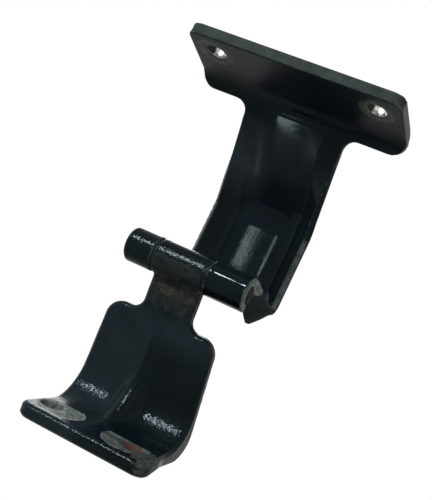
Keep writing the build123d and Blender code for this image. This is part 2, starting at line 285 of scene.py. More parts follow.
class Effects:
    """Node groups that several finishes share."""

    middle = 0.5
    patches = Cloud(70.0, 4.0)
    shade = Cloud(26.0, high=0.62)
    shade_share = 0.65
    shaded: Triple = (0.0012, 0.0018, 0.0028)
    grains = Cloud(1700.0, 2.0, 0.7, 0.58, 0.78)
    veil = Cloud(190.0, 5.0, 0.65, 0.45, 0.75)
    gloss_least = 0.7
    gloss_span: Span = (0.3, 0.7)
    dust_dulls = 0.12
    peel = Cloud(620.0, 2.0)
    speck_share = 0.25
    frayed = Cloud(420.0, 5.0, 0.6)
    soft_rim = 0.5 * MM
    soft_depth = 0.2 * MM
    rim_span: Span = (0.6 * MM, 1.3 * MM)
    breaks = Cloud(340.0, 5.0, 0.65)
    rub_width = 0.28
    blots = Cloud(260.0, 6.0, 0.7, 0.42, 0.62)
    crust = Cloud(1500.0, 4.0, 0.7)
    rust_dark: Triple = (0.009, 0.009, 0.008)
    rust_pale: Triple = (0.062, 0.050, 0.038)

    def __init__(self) -> None:
        """Build each group once."""
        self.coat = self._coat()
        self.mark = self._mark()
        self.rub = self._rub()
        self.rust = self._rust()

    @staticmethod
    def _open(
        name: str, inputs: dict[str, str], outputs: dict[str, str]
    ) -> tuple[Graph, bpy.types.NodeOutputs, bpy.types.NodeInputs]:
        """Start a group with its sockets.

        Args:
            name: Name of the group.
            inputs: Socket kinds by input name.
            outputs: Socket kinds by output name.

        Returns:
            The graph, the sockets that come in and the sockets that go out.
        """
        tree = bpy.data.node_groups.new(name, "ShaderNodeTree")
        for way, sockets in (("INPUT", inputs), ("OUTPUT", outputs)):
            for key, kind in sockets.items():
                tree.interface.new_socket(name=key, in_out=way, socket_type="NodeSocket" + kind)
        entry = tree.nodes.new("NodeGroupInput")
        leave = tree.nodes.new("NodeGroupOutput")
        return Graph(tree), entry.outputs, leave.inputs

    def _coat(self) -> Tree:
        """Make the uneven sprayed coat: tint, gloss and orange peel.

        Returns:
            The group.
        """
        graph, entry, leave = self._open(
            "sprayed_coat",
            {
                "Vector": "Vector",
                "Cool": "Color",
                "Green": "Color",
                "Dust": "Color",
                "Gloss": "Float",
            },
            {"Colour": "Color", "Roughness": "Float", "Height": "Float"},
        )
        place = entry["Vector"]
        tint = graph.colour(graph.cloud(place, self.patches), entry["Cool"], entry["Green"])
        shade = graph.number(Blend.TIMES, graph.cloud(place, self.shade), self.shade_share)
        tint = graph.colour(shade, tint, rgba(self.shaded))
        grains = graph.noise(place, self.grains)
        dust = graph.ramp(grains, self.grains.low, self.grains.high)
        film = graph.noise(place, self.veil)
        veil = graph.times(dust, graph.ramp(film, self.veil.low, self.veil.high))
        graph.feed(leave["Colour"], graph.colour(veil, tint, entry["Dust"]))
        gloss = graph.number(Blend.PLUS, self.gloss_least, graph.ramp(film, *self.gloss_span))
        gloss = graph.times(gloss, entry["Gloss"])
        dull = graph.number(Blend.PLUS, gloss, self.dust_dulls)
        graph.feed(leave["Roughness"], graph.level(dust, gloss, dull))
        speck = graph.number(Blend.TIMES, grains, self.speck_share)
        peel = graph.noise(place, self.peel)
        graph.feed(leave["Height"], graph.number(Blend.PLUS, peel, speck))
        return graph.tree

    def _mark(self) -> Tree:
        """Make the round print of a washer or bolt head on a face.

        Returns:
            The group.
        """
        graph, entry, leave = self._open(
            "round_mark",
            {
                "Vector": "Vector",
                "Centre": "Vector",
                "Axis": "Vector",
                "Radius": "Float",
                "Reach": "Float",
                "Fray": "Float",
            },
            {"Mask": "Float", "Rim": "Float"},
        )
        place = entry["Vector"]
        offset = graph.vector("SUBTRACT", place, entry["Centre"])
        along = graph.vector("DOT_PRODUCT", offset.outputs[0], entry["Axis"])
        shaft = graph.vector("SCALE", entry["Axis"], along.outputs[1])
        span = graph.vector("DISTANCE", offset.outputs[0], shaft.outputs[0])
        ragged = graph.number(Blend.MINUS, graph.noise(place, self.frayed), self.middle)
        push = graph.number(Blend.TIMES, ragged, entry["Fray"])
        far = graph.number(Blend.PLUS, span.outputs[1], push)
        gap = graph.number(Blend.MINUS, entry["Radius"], far)
        inside = graph.ramp(gap, 0.0, self.soft_rim)
        depth = graph.number(Blend.SIZE, along.outputs[1])
        near = graph.number(Blend.MINUS, entry["Reach"], depth)
        within = graph.ramp(near, 0.0, self.soft_depth)
        graph.feed(leave["Mask"], graph.number(Blend.TIMES, inside, within))
        deep = graph.ramp(gap, *self.rim_span)
        ring = graph.number(Blend.MINUS, inside, deep)
        graph.feed(leave["Rim"], graph.number(Blend.TIMES, ring, within))
        return graph.tree

    def _rub(self) -> Tree:
        """Make the rubbed edges, broken up along their length.

        Returns:
            The group.
        """
        graph, entry, leave = self._open(
            "rubbed_edge",
            {"Vector": "Vector", "Edge": "Float", "Start": "Float"},
            {"Mask": "Float"},
        )
        place = entry["Vector"]
        lift = graph.number(Blend.MINUS, graph.noise(place, self.breaks), self.middle)
        edge = graph.number(Blend.PLUS, entry["Edge"], lift)
        stop = graph.number(Blend.PLUS, entry["Start"], self.rub_width)
        graph.feed(leave["Mask"], graph.ramp(edge, entry["Start"], stop))
        return graph.tree

    def _rust(self) -> Tree:
        """Make crusty brown rust.

        Returns:
            The group.
        """
        graph, entry, leave = self._open(
            "brown_rust",
            {"Vector": "Vector"},
            {"Colour": "Color", "Mask": "Float", "Height": "Float"},
        )
        place = entry["Vector"]
        blots = graph.noise(place, self.blots)
        grains = graph.noise(place, self.crust)
        tone = graph.colour(grains, rgba(self.rust_dark), rgba(self.rust_pale))
        graph.feed(leave["Colour"], tone)
        graph.feed(leave["Mask"], graph.ramp(blots, self.blots.low, self.blots.high))
        graph.feed(leave["Height"], graph.number(Blend.PLUS, blots, grains))
        return graph.tree


@dataclass(frozen=True)
class Spot:
    """A round place that reaches both ways along its axis, with a rim that may wander."""

    centre: Triple
    axis: Triple
    radius: float
    reach: float
    fray: float = 0.0

    def place(self, graph: Graph, effects: Effects, where: Socket) -> Node:
        """Return the round mark of this spot, a node with its mask and rim."""
        return graph.group(
            effects.mark,
            Vector=where,
            Centre=self.centre,
            Axis=self.axis,
            Radius=self.radius,
            Reach=self.reach,
            Fray=self.fray,
        )


def spot_mm(centre: Triple, axis: Triple, radius: float, reach: float, fray: float = 0.0) -> Spot:
    """Return a spot from lengths in millimetres."""
    x, y, z = centre
    return Spot((x * MM, y * MM, z * MM), axis, radius * MM, reach * MM, fray * MM)


class Surface:
    """A material under construction: colour, roughness, metal and height so far."""

    mottle_detail = 6.0
    mottle_rough = 0.7

    def __init__(self, name: str, effects: Effects) -> None:
        """Open a material with an empty node tree.

        Args:
            name: Name of the material.
            effects: The shared groups.
        """
        self.material = bpy.data.materials.new(name)
        self.material.use_nodes = True
        self.material.node_tree.nodes.clear()
        self.graph = Graph(self.material.node_tree)
        self.effects = effects
        self.where = self.graph.node("TexCoord").outputs["Object"]
        self.colour: object = None
        self.rough: object = None
        self.metal: object = 0.0
        self.height: object = None

    def attribute(self, name: str) -> Socket:
        """Return the socket of a number stored on the mesh."""
        return self.graph.node("Attribute", attribute_name=name).outputs["Fac"]

    def lay(self, mask: Socket, colour: object, rough: float, metal: float = 0.0) -> None:
        """Lay another look over what is there.

        Args:
            mask: Where it goes.
            colour: Its colour, or a socket with it.
            rough: Its roughness.
            metal: How far it is bare metal.
        """
        self.colour = self.graph.colour(mask, self.colour, colour)
        self.rough = self.graph.level(mask, self.rough, rough)
        self.metal = self.graph.level(mask, self.metal, metal)

    def along(self, axis: Triple) -> Socket:
        """Return a socket with the distance from the origin along a direction."""
        return self.graph.vector("DOT_PRODUCT", self.where, axis).outputs["Value"]

    def past(self, axis: Triple, span: Span) -> Socket:
        """Return a mask that rises from 0 to 1 over a span along a direction."""
        return self.graph.ramp(self.along(axis), *span)

    def within(self, spot: Spot) -> Socket:
        """Return the mask of a spot."""
        return spot.place(self.graph, self.effects, self.where).outputs["Mask"]

    def film(self, mask: Socket, film: Film) -> None:
        """Lay a film over what is there.

        Args:
            mask: Where it goes.
            film: The film.
        """
        colour: object = rgba(film.colour)
        if film.pale is not None:
            cloud = Cloud(film.scale, self.mottle_detail, self.mottle_rough)
            share = self.graph.cloud(self.where, cloud)
            colour = self.graph.colour(share, colour, rgba(film.pale))
        self.lay(mask, colour, film.rough, film.metal)


@dataclass(frozen=True)
class BlackPaint:
    """Gloss black stoving paint, a little green and blue, rubbed at the edges."""

    cool: Triple = (0.0028, 0.0052, 0.0080)
    green: Triple = (0.0031, 0.0064, 0.0066)
    dust: Triple = (0.022, 0.028, 0.028)
    rubbed: Film = Film(0.38, (0.055, 0.064, 0.062))
    specular: float = 0.06
    glint: Triple = (0.74, 0.94, 1.0)
    gloss: float = 0.1
    bump: float = 0.02 * MM

    def start(self, name: str, effects: Effects) -> Surface:
        """Open a material with this coat on it.

        Args:
            name: Name of the material.
            effects: The shared groups.

        Returns:
            The surface to go on with.
        """
        surface = Surface(name, effects)
        made = surface.graph.group(
            effects.coat,
            Vector=surface.where,
            Cool=rgba(self.cool),
            Green=rgba(self.green),
            Dust=rgba(self.dust),
            Gloss=self.gloss,
        )
        surface.colour = made.outputs["Colour"]
        surface.rough = made.outputs["Roughness"]
        surface.height = made.outputs["Height"]
        return surface

    def rub_edges(self, surface: Surface, start: float) -> None:
        """Rub the paint thin on the convex edges.

        Args:
            surface: The material.
            start: Edge strength at which the rubbing starts.
        """
        rub = surface.graph.group(
            surface.effects.rub,
            Vector=surface.where,
            Edge=surface.attribute("edge"),
            Start=start,
        )
        surface.film(rub.outputs["Mask"], self.rubbed)

    def finish(self, surface: Surface) -> Material:
        """Join everything into the surface shader.

        Args:
            surface: The material.

        Returns:
            The finished material.
        """
        graph = surface.graph
        bumps = graph.node("Bump")
        graph.fill(bumps, Strength=1.0, Distance=self.bump, Height=surface.height)
        shader = graph.fill(
            graph.node("BsdfPrincipled"),
            Base_Color=surface.colour,
            Roughness=surface.rough,
            Metallic=surface.metal,
            Specular_IOR_Level=self.specular,
            Specular_Tint=rgba(self.glint),
            Normal=bumps.outputs["Normal"],
        )
        graph.fill(graph.node("OutputMaterial"), Surface=shader.outputs["BSDF"])
        return surface.material


class Relief:
    """Numbers on the vertices of a mesh, and how they spread along its edges."""

    def __init__(self, mesh: Mesh) -> None:
        """Read the vertices, normals and edges.

        Args:
            mesh: The mesh.
        """
        self.mesh = mesh
        self.count = len(mesh.vertices)
        self.points = self._read("co")
        self.normals = self._read("normal")
        ends = np.empty(len(mesh.edges) * 2, dtype=np.int64)
        mesh.edges.foreach_get("vertices", ends)
        self.ends = ends.reshape(-1, 2)
        self.share = np.maximum(np.bincount(ends, minlength=self.count), 1)

    def _read(self, what: str) -> np.ndarray:
        """Return one vector for each vertex."""
        values = np.empty(self.count * 3)
        self.mesh.vertices.foreach_get(what, values)
        return values.reshape(-1, 3)

    def spread(self, values: np.ndarray) -> np.ndarray:
        """Average the values of the neighbours of each vertex.

        Args:
            values: One number for each vertex.

        Returns:
            The averaged numbers.
        """
        total = np.bincount(self.ends[:, 0], values[self.ends[:, 1]], self.count)
        total += np.bincount(self.ends[:, 1], values[self.ends[:, 0]], self.count)
        return total / self.share

    def blur(self, values: np.ndarray, rounds: int) -> np.ndarray:
        """Blur values along the mesh.

        Args:
            values: One number for each vertex.
            rounds: How often they are averaged.

        Returns:
            The blurred numbers.
        """
        for _ in range(rounds):
            values = 0.5 * values + 0.5 * self.spread(values)
        return values

    def from_pin(self) -> np.ndarray:
        """Return the distance of each vertex from the axis of the pin."""
        return np.hypot(self.points[:, 0] - PIN_X, self.points[:, 1] - PIN_Y)

    def bulge(self, voxel: float) -> np.ndarray:
        """Return how far each vertex stands out in voxels, negative in a crease."""
        middle = np.stack([self.spread(self.points[:, k]) for k in range(3)], axis=1)
        return ((self.points - middle) * self.normals).sum(1) / voxel

    def store(self, name: str, values: np.ndarray) -> None:
        """Write one number for each vertex into a named layer."""
        layer = self.mesh.attributes.new(name, "FLOAT", "POINT")
        layer.data.foreach_set("value", values.astype(np.float32))


class Bends:
    """Where a solid turns a corner: its outer edges and its inner corners."""

    step = 0.5 * MM
    outer_from = np.radians(25.0)
    inner_from = np.radians(-8.0)

    def __init__(self, mesh: Mesh) -> None:
        """Sort the edges of the solid.

        Args:
            mesh: The joined triangles of the solid.
        """
        outer, inner = [], []
        form = bmesh.new()
        form.from_mesh(mesh)
        for edge in form.edges:
            if len(edge.link_faces) == 2:
                angle = edge.calc_face_angle_signed()
                if angle > self.outer_from:
                    outer.extend(self._along(edge))
                elif angle < self.inner_from:
                    inner.extend(self._along(edge))
        form.free()
        self.outer = self._tree(outer)
        self.inner = self._tree(inner)

    def _along(self, edge: bmesh.types.BMEdge) -> list[Vector]:
        """Return points spaced evenly on an edge."""
        start, end = (corner.co.copy() for corner in edge.verts)
        count = max(1, int((end - start).length / self.step))
        return [start.lerp(end, k / count) for k in range(count + 1)]

    @staticmethod
    def _tree(points: list[Vector]) -> KDTree:
        """Return a search tree over points."""
        tree = KDTree(len(points))
        for index, point in enumerate(points):
            tree.insert(point, index)
        tree.balance()
        return tree

    @staticmethod
    def distance(tree: KDTree, points: np.ndarray) -> np.ndarray:
        """Return how far points are from the nearest bend, 0 if the solid has none."""
        return np.array([tree.find(point)[2] or 0.0 for point in points.tolist()])


@dataclass(frozen=True)
class MeshSizes:
    """How finely a piece is meshed, and how far its faces are smoothed."""

    join: float = 0.001 * MM
    voxel: float = 0.5 * MM
    rounds: int = 6
    share: float = 0.5
    weight_steps: int = 20
    hold: float = 1.0 * MM
    hold_fade: float = 1.5 * MM
    facet_rounds: int = 160
    barrel_reach: float = 9.5 * MM
    barrel_share: float = 0.15
    crease_rounds: int = 10
    crease_reach: float = 4.0 * MM
    crease_gain: float = 1.5
    crease_clear: float = 12.0 * MM
    clear_fade: float = 3.0 * MM
    blur_rounds: int = 3
    edge_gain: float = 7.0


class Dressed:
    """A node of the solids with its edges softened and its wear stored on the mesh."""

    node = ""
    slot = ""
    body = Body.PILLAR
    sizes = MeshSizes()

    def __init__(self, paint: BlackPaint, effects: Effects) -> None:
        """Keep the paint and the shared groups."""
        self.paint = paint
        self.effects = effects

    def build(self) -> None:
        """Make the piece and dress it."""
        piece = self.copy()
        bends = Bends(piece.data)
        self.soften(piece)
        self.ease(piece, bends)
        self.store_edges(piece)
        piece.data.materials.clear()
        piece.data.materials.append(self.material())
        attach(piece, self.body.value)
        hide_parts(self.node)
        faces = len(piece.data.polygons)
        log.info("%s: %d faces on %s", piece.name, faces, self.body.value)

    def material(self) -> Material:
        """Return the material of the piece."""
        raise NotImplementedError

    def copy(self) -> Piece:
        """Copy the node and join its triangles.

        Returns:
            The new object, at the origin.
        """
        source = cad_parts[self.node]
        bpy.ops.object.select_all(action="DESELECT")
        piece = bpy.data.objects.new(self.node + "_dressed", source.data.copy())
        bpy.context.scene.collection.objects.link(piece)
        piece.select_set(True)
        bpy.context.view_layer.objects.active = piece
        bpy.ops.object.mode_set(mode="EDIT")
        bpy.ops.mesh.select_all(action="SELECT")
        bpy.ops.mesh.remove_doubles(threshold=self.sizes.join)
        bpy.ops.mesh.customdata_custom_splitnormals_clear()
        bpy.ops.object.mode_set(mode="OBJECT")
        return piece

    def soften(self, piece: Piece) -> None:
        """Give the piece an even mesh and round its sharp edges.

        Args:
            piece: The copied object.
        """
        bpy.ops.object.modifier_add(type="REMESH")
        grid = piece.modifiers[-1]
        grid.mode = "VOXEL"
        grid.voxel_size = self.sizes.voxel
        bpy.ops.object.modifier_apply(modifier=grid.name)
        bpy.ops.object.modifier_add(type="SMOOTH")
        ease = piece.modifiers[-1]
        ease.factor = self.sizes.share
        ease.iterations = self.sizes.rounds
        bpy.ops.object.modifier_apply(modifier=ease.name)
        bpy.ops.object.shade_smooth()

    def ease(self, piece: Piece, bends: Bends) -> None:
        """Smooth the flats of round faces and fill inner corners, and hold the outer edges.

        Args:
            piece: The softened object.
            bends: The bends of the solid.
        """
        sizes = self.sizes
        relief = Relief(piece.data)
        far = bends.distance(bends.outer, relief.points)
        free = np.clip((far - sizes.hold) / sizes.hold_fade, 0.0, 1.0)
        barrel = relief.from_pin() < sizes.barrel_reach
        self.smooth(piece, np.where(barrel, sizes.barrel_share, 1.0) * free, sizes.facet_rounds)
        near = 1.0 - bends.distance(bends.inner, relief.points) / sizes.crease_reach
        past = (relief.from_pin() - sizes.crease_clear) / sizes.clear_fade
        weight = np.clip(sizes.crease_gain * near, 0.0, 1.0) * np.clip(past, 0.0, 1.0) * free
        self.smooth(piece, weight, sizes.crease_rounds)

    def smooth(self, piece: Piece, weight: np.ndarray, rounds: int) -> None:
        """Smooth the mesh where a weight says so.

        Args:
            piece: The object.
            weight: Share of the smoothing for each vertex, 0 to 1.
            rounds: How often it is smoothed.
        """
        group = piece.vertex_groups.new(name="smoothed")
        most = self.sizes.weight_steps
        steps = np.round(weight * most).astype(int)
        for step in range(1, most + 1):
            group.add(np.flatnonzero(steps == step).tolist(), step / most, "REPLACE")
        bpy.ops.object.modifier_add(type="SMOOTH")
        ease = piece.modifiers[-1]
        ease.factor = self.sizes.share
        ease.iterations = rounds
        ease.vertex_group = group.name
        bpy.ops.object.modifier_apply(modifier=ease.name)
        piece.vertex_groups.clear()

    def store_edges(self, piece: Piece) -> None:
        """Store where the mesh bulges as "edge", and its cut faces as "cut".

        Args:
            piece: The softened object.
        """
        relief = Relief(piece.data)
        rounds = self.sizes.blur_rounds
        bulge = relief.blur(relief.bulge(self.sizes.voxel), rounds)
        relief.store("edge", np.clip(bulge * self.sizes.edge_gain, 0.0, 1.0))
        relief.store("cut", relief.blur(self.cut_faces(relief), rounds))

    def cut_faces(self, relief: Relief) -> np.ndarray:
        """Return 1 for each vertex on a sheared face, none unless a piece has some."""
        return np.zeros(relief.count)


@dataclass(frozen=True)
class PillarSizes(MeshSizes):
    """Mesh of the pillar leaf, and where its cut edges, films and marks are."""

    voxel: float = 0.57 * MM
    facet_rounds: int = 320
    crease_rounds: int = 400
    crease_reach: float = 9.0 * MM
    sheet: float = 5.4 * MM
    ray_start: float = 0.05 * MM
    ray_share: float = 1.25
    rim_facing: float = 0.45
    rim_share: float = 0.4
    end_facing: float = -0.5
    roll_reach: float = 13.0 * MM
    flange_from: float = -15.0 * MM
    front_face: Span = (-17.8 * MM, -16.8 * MM)
    film_starts: Span = (14.0 * MM, 19.0 * MM)
    film_fades: Span = (-52.0 * MM, -34.0 * MM)
    arm_film: Spot = spot_mm((-42.0, -29.0, 0.0), ARM_FRONT, 34.0, 9.0, 6.0)
    # A paler, rougher film over the +Z side of the upper arm.
    arm_side_film: Spot = spot_mm((-38.0, -30.0, 12.0), ARM_FRONT, 36.0, 22.0, 8.0)
    side_from: Span = (4.0 * MM, 15.0 * MM)
    patch_at: float = 4.7 * MM
    patch_clear: Span = (8.0 * MM, 14.0 * MM)
    root_reach: Span = (-17.0 * MM, -11.0 * MM)
    below_knee: Spot = spot_mm((-12.6, -99.3, 0.0), UP, 58.0, 60.0, 8.0)
    # A darker, matt green film on the face at the lower end of the leg.
    leg_end_dark: Spot = spot_mm((-44.0, -98.5, -20.0), (0.07, -0.84, -0.54), 19.0, 5.0, 4.0)
    flange: Spot = spot_mm((0.0, 0.0, 0.0), TO_PILLAR, 90.0, 5.3)
    face: Spot = spot_mm((0.0, -5.5, 0.0), TO_PILLAR, 90.0, 0.9)
    prints: tuple[Spot, ...] = (
        spot_mm((-0.5, -5.4, 41.0), TO_PILLAR, 9.5, 0.4, 5.0),
        spot_mm((-0.5, -5.4, -40.0), TO_PILLAR, 8.8, 0.4, 3.0),
    )
    holes: tuple[Spot, ...] = (
        spot_mm((0.0, 0.0, 40.0), TO_PILLAR, 5.3, 5.1),
        spot_mm((0.0, 0.0, -40.0), TO_PILLAR, 5.3, 5.1),
    )
    # Painted shade: darker spots over the +Z side of each bolt hole, where its inner wall lies in
    # shadow.
    hole_dirt_and_shade: tuple[Spot, ...] = (
        spot_mm((0.0, 0.0, 43.0), TO_PILLAR, 4.2, 4.9, 1.5),
        spot_mm((0.0, 0.0, -37.0), TO_PILLAR, 4.2, 4.9, 1.5),
    )


@dataclass(frozen=True)
class PillarWear:
    """Films, sheared edges and bare places of the pillar leaf, with painted light on its downward
    cut ends and painted shade in its bolt holes.
    """

    arm_film: Film = Film(0.15, (0.0022, 0.0042, 0.0062), (0.0034, 0.0056, 0.0076), 90.0)
    # A paler, rougher film over the +Z side of the upper arm.
    arm_side_film: Film = Film(0.2, (0.010, 0.014, 0.0165), (0.014, 0.019, 0.022), 90.0)
    root_rough: float = 0.3
    # Sheared faces have a paler tone of their own; on the downward roll ends the pale tone is
    # also painted light from below.
    cut_strip_with_painted_light: Film = Film(0.7, (0.055, 0.064, 0.062), (0.150, 0.175, 0.168), 420.0)
    flange_edge: Film = Film(0.65, (0.015, 0.020, 0.019), (0.027, 0.034, 0.032), 160.0)
    rub_start: float = 0.55
    # A darker, matt green film on the face at the lower end of the leg.
    leg_end_dark: Film = Film(0.8, (0.004, 0.009, 0.0085), (0.009, 0.018, 0.0165))
    face_rough: float = 0.4
    washer_print: Film = Film(0.45, (0.018, 0.020, 0.016), (0.062, 0.064, 0.052), 330.0)
    bare_hole: Film = Film(0.33, (0.62, 0.62, 0.60), (0.20, 0.21, 0.205), 500.0, 1.0)
    # Painted shade in the pillar leaf's bolt holes; on the door leaf this name is the grey tone
    # of the hole walls.
    hole_dirt_and_shade: Film = Film(0.6, (0.020, 0.026, 0.018))


class PillarLeaf(Dressed):
    """The pressed leaf that bolts to the pillar, its arm rolled round the pin."""

    node = "pillar_leaf"
    slot = "black_paint_pillar"
    body = Body.PILLAR
    sizes = PillarSizes()
    wear = PillarWear()

    def cut_faces(self, relief: Relief) -> np.ndarray:
        """Find the sheared faces of the sheet by how deep the metal is under them.

        Args:
            relief: The mesh with its vertices and normals.

        Returns:
            1 for each vertex on a sheared face, less on a rim and 0 for the others. The downward
            roll ends get the full share, whose pale tone is painted light from below.
        """
        sizes = self.sizes
        faces = [tuple(face.vertices) for face in relief.mesh.polygons]
        tree = BVHTree.FromPolygons(relief.points.tolist(), faces)
        limit = sizes.ray_share * sizes.sheet
        found = np.zeros(relief.count)
        for index, (point, normal) in enumerate(zip(relief.points, relief.normals)):
            inward = Vector(-normal)
            start = Vector(point) + inward * sizes.ray_start
            hit = tree.ray_cast(start, inward, limit)[0]
            found[index] = 1.0 if hit is None else 0.0
        rims = np.where(relief.points[:, 1] > sizes.flange_from, 1.0, sizes.rim_share)
        rims *= relief.normals[:, 0] > sizes.rim_facing
        ends = relief.normals[:, 2] < sizes.end_facing
        return found * np.maximum(rims, ends & (relief.from_pin() < sizes.roll_reach))

    def material(self) -> Material:
        """Paint the leaf, with cut edges, washer prints and bright holes, painted light on the
        downward cut ends and painted shade on one side of each hole.

        Returns:
            The material.
        """
        sizes, wear = self.sizes, self.wear
        surface = self.paint.start("black_paint_pillar", self.effects)
        graph = surface.graph
        self.dull_arm(surface)
        cut = surface.attribute("cut")
        # Painted light: the pale strip on the downward roll ends stands in for light from below,
        # laid over the lighter cut faces.
        surface.film(graph.times(cut, surface.within(sizes.below_knee)), wear.cut_strip_with_painted_light)
        surface.film(graph.times(cut, surface.within(sizes.flange)), wear.flange_edge)
        self.paint.rub_edges(surface, wear.rub_start)
        # Darker, matt film at the lower end of the leg.
        surface.film(surface.within(sizes.leg_end_dark), wear.leg_end_dark)
        self.mark_flange(surface)
        return self.paint.finish(surface)

    def dull_arm(self, surface: Surface) -> None:
        """Lay thin films on the arm and dull the bend at its root.

        Args:
            surface: The material.
        """
        graph, sizes, wear = surface.graph, self.sizes, self.wear
        inside = graph.times(
            surface.past(TO_PILLAR, sizes.film_fades),
            surface.past(ARM_FRONT, sizes.front_face),
            surface.past(FROM_PILLAR, sizes.film_starts),
        )
        surface.film(graph.times(surface.within(sizes.arm_film), inside), wear.arm_film)
        side = graph.times(inside, surface.past(UP, sizes.side_from))
        surface.film(graph.times(surface.within(sizes.arm_side_film), side), wear.arm_side_film)
        away = graph.number(Blend.MINUS, surface.along(UP), sizes.patch_at)
        beside = graph.ramp(graph.number(Blend.SIZE, away), *sizes.patch_clear)
        root = graph.times(surface.past(TO_PILLAR, sizes.root_reach), beside)
        surface.rough = graph.level(root, surface.rough, wear.root_rough)

    def mark_flange(self, surface: Surface) -> None:
        """Dull the face of the flange, and add the prints, the bare holes and painted shade over
        one side of each hole.

        Args:
            surface: The material.
        """
        sizes, wear = self.sizes, self.wear
        on_face = surface.within(sizes.face)
        surface.rough = surface.graph.level(on_face, surface.rough, wear.face_rough)
        # The last spots lay painted shade over one side of each bolt hole.
        for spots, film in (
            (sizes.prints, wear.washer_print),
            (sizes.holes, wear.bare_hole),
            (sizes.hole_dirt_and_shade, wear.hole_dirt_and_shade),
        ):
            for spot in spots:
                surface.film(surface.within(spot), film)


@dataclass(frozen=True)
class DoorSizes(MeshSizes):
    """Mesh of the door leaf, and where its films and marks are."""

    facet_rounds: int = 240
    crease_rounds: int = 80
    crease_clear: float = 6.5 * MM
    # Where the painted light on the +Z half of the body starts.
    lit_half: Span = (8.4 * MM, 10.2 * MM)
    crease_from: Span = (-138.0 * MM, -128.0 * MM)
    front_face: Span = (24.5 * MM, 26.0 * MM)
    under_neck: Span = (116.0 * MM, 126.0 * MM)
    films: tuple[Spot, ...] = (
        spot_mm((-14.5, -111.0, 6.0), UP, 9.0, 24.0, 16.0),
        spot_mm((-7.0, -106.0, 6.0), UP, 6.5, 19.0, 5.0),
    )
    neck_rust: Spot = spot_mm((-13.5, -109.5, 4.0), UP, 5.0, 15.0, 8.0)
    prints: tuple[Spot, ...] = (
        spot_mm((-11.9, -177.8, 25.2), DOOR_BOLT, 11.2, 1.2, 1.4),
        spot_mm((-11.9, -177.8, -7.6), DOOR_BOLT, 11.2, 1.2, 1.4),
    )
    bared: tuple[Spot, ...] = (
        spot_mm((-11.4, -178.0, 25.2), UP, 9.0, 30.0, 1.4),
        spot_mm((-9.1, -178.9, -7.6), UP, 8.2, 30.0, 1.4),
    )
    worn_corner: Spot = spot_mm((-8.2, -180.4, -24.0), (0.16, 0.70, -0.70), 9.0, 6.0, 9.0)
    holes: tuple[Spot, ...] = (
        spot_mm((-13.136, -180.880, 29.75), DOOR_BOLT, 5.2, 3.2),
        spot_mm((-13.136, -180.880, -11.25), DOOR_BOLT, 5.2, 3.2),
    )
    red_paint: Spot = spot_mm((-16.2, -178.2, -10.6), (0.12, 0.0, 0.99), 1.9, 4.6, 3.0)


@dataclass(frozen=True)
class DoorWear:
    """Films, painted light, rust and bare places of the door leaf."""

    # Painted light: the paler, glossy film over the side of the body that faces the light.
    dust: Film = Film(0.13, (0.0056, 0.0092, 0.0120), (0.0078, 0.0122, 0.0155), 120.0)
    rub_start: float = 0.62
    grime: Film = Film(0.45, (0.005, 0.0075, 0.0078), (0.013, 0.0155, 0.015))
    rust_rough: float = 0.7
    washer_prints: tuple[Film, ...] = (
        Film(0.5, (0.022, 0.029, 0.027), (0.135, 0.158, 0.152), 420.0),
        Film(0.5, (0.018, 0.024, 0.022), (0.070, 0.082, 0.078)),
    )
    print_rim: Film = Film(0.5, (0.20, 0.21, 0.205))
    rim_patches: Cloud = Cloud(180.0, 5.0, 0.7, 0.4, 0.65)
    worn_corner: Film = Film(0.5, (0.010, 0.014, 0.013), (0.034, 0.042, 0.039), 380.0)
    hole_dirt_and_shade: Film = Film(0.6, (0.030, 0.036, 0.033), (0.110, 0.125, 0.118), 600.0)
    red_paint: Film = Film(0.5, (0.085, 0.022, 0.017), (0.060, 0.050, 0.046), 520.0)


